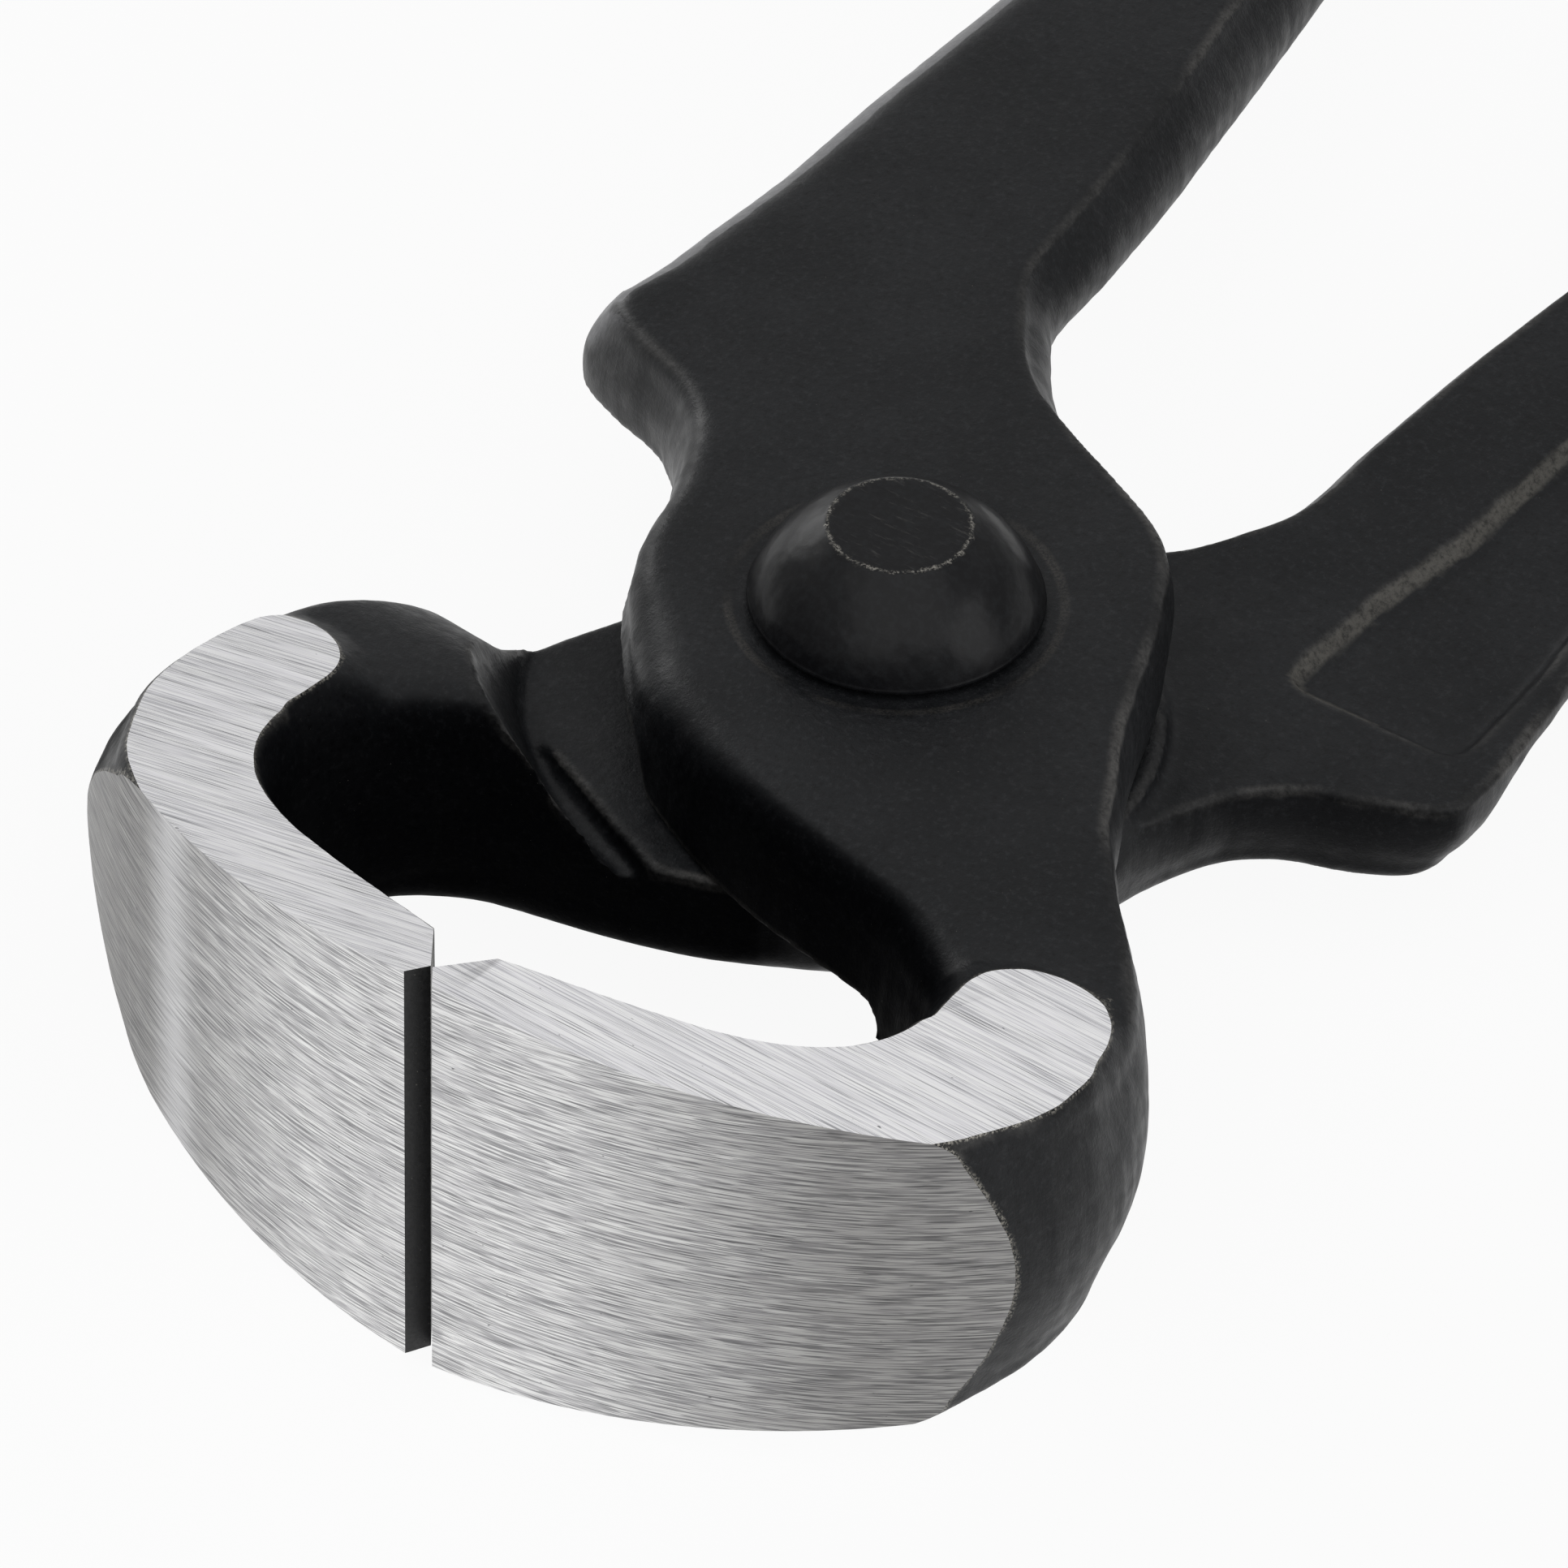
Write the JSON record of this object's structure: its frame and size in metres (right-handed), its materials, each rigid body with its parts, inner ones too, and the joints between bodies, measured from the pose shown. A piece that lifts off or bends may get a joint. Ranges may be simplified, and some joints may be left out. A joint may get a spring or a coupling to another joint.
{
  "type": "end cutting nippers",
  "caption": "End cutting nippers of the carpenters' pincers pattern: forged levers that lap on a domed rivet, with curved jaws ground bright on their sides and front.",
  "frame": {"origin": "centre of the flat on the rear rivet head, on the rivet's axis", "axes": "+Z along the rivet's axis towards the front lever, +Y along the handles, jaws at -Y"},
  "size_m": [0.0638, 0.25, 0.0252],
  "materials": {
    "lacquered_steel": "black satin lacquer on forged steel, with the jaws ground bright",
    "rivet_steel": "black semi-gloss lacquer"
  },
  "bodies": {
    "rear": {"rear_lever": "lacquered_steel", "rivet": "rivet_steel"},
    "front": {"front_lever": "lacquered_steel"}
  },
  "joints": [
    {"name": "pivot", "type": "hinge", "parent": "rear", "child": "front", "pos_m": [0, 0, 0.0118], "axis": [0, 0, 1], "range_deg": [0, 40]}
  ]
}
